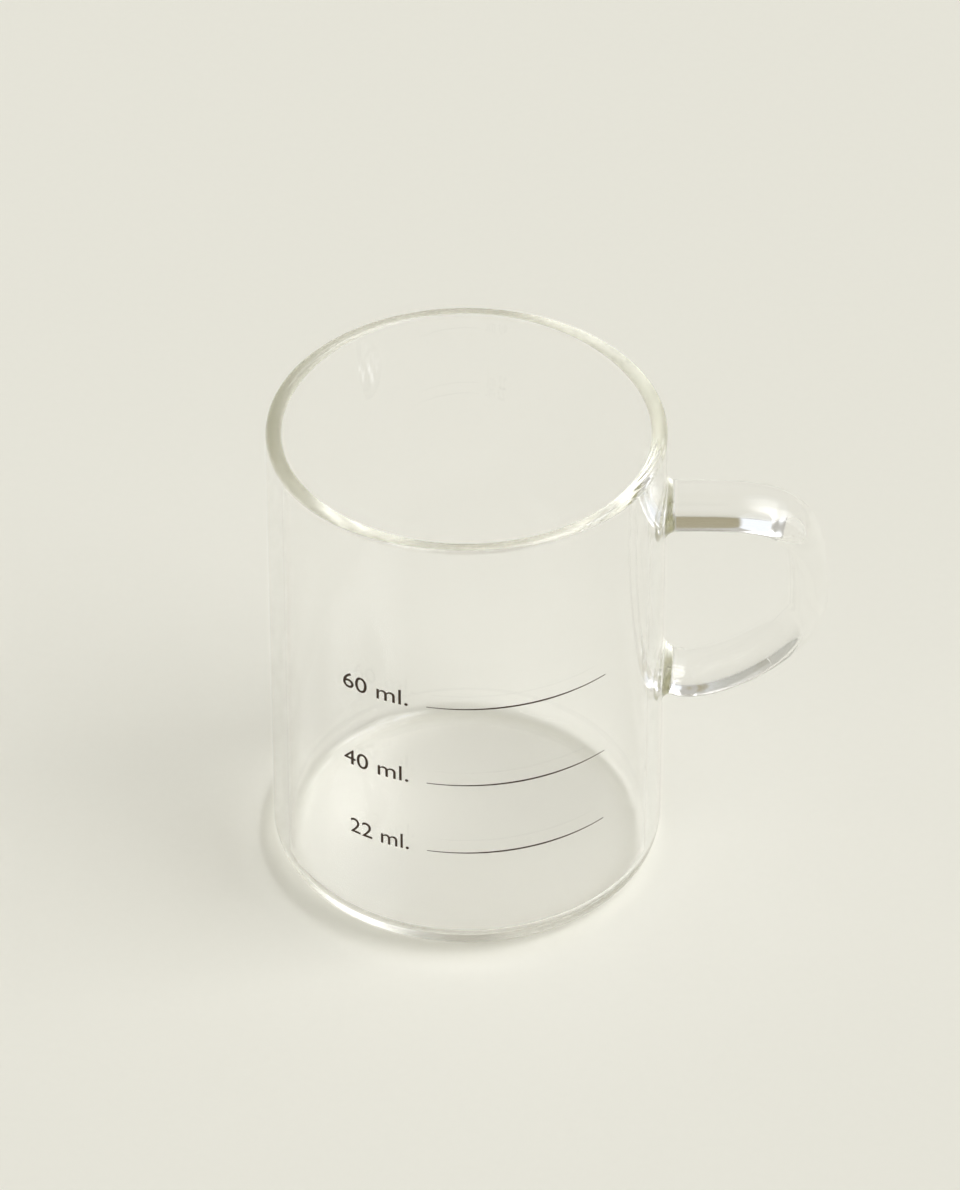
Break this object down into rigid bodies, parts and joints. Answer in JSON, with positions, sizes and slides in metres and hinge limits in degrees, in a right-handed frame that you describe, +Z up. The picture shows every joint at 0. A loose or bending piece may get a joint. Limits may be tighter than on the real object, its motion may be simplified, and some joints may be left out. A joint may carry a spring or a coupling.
{
  "type": "glass mug",
  "caption": "Small straight-sided mug of clear glass with a rounded rim and heel, an ear-shaped handle of oval glass rod welded to the wall, and thin printed fill lines on the front.",
  "frame": {"origin": "centre of the flat underside, on the table", "axes": "+Z up along the mug's axis, +X towards the handle, -Y towards the front with the fill lines"},
  "size_m": [0.0701, 0.0497, 0.0652],
  "materials": {
    "borosilicate_glass": "clear, fire-polished, with a faint olive tint where it is seen through a long way",
    "enamel_print": "thin baked enamel transfer, dark brown, satin"
  },
  "bodies": {
    "root": {"body": "borosilicate_glass", "handle_rod": "borosilicate_glass", "upper_weld": "borosilicate_glass", "lower_weld": "borosilicate_glass", "fill_line_22_ml": "enamel_print", "fill_line_40_ml": "enamel_print", "fill_line_60_ml": "enamel_print"}
  },
  "joints": []
}
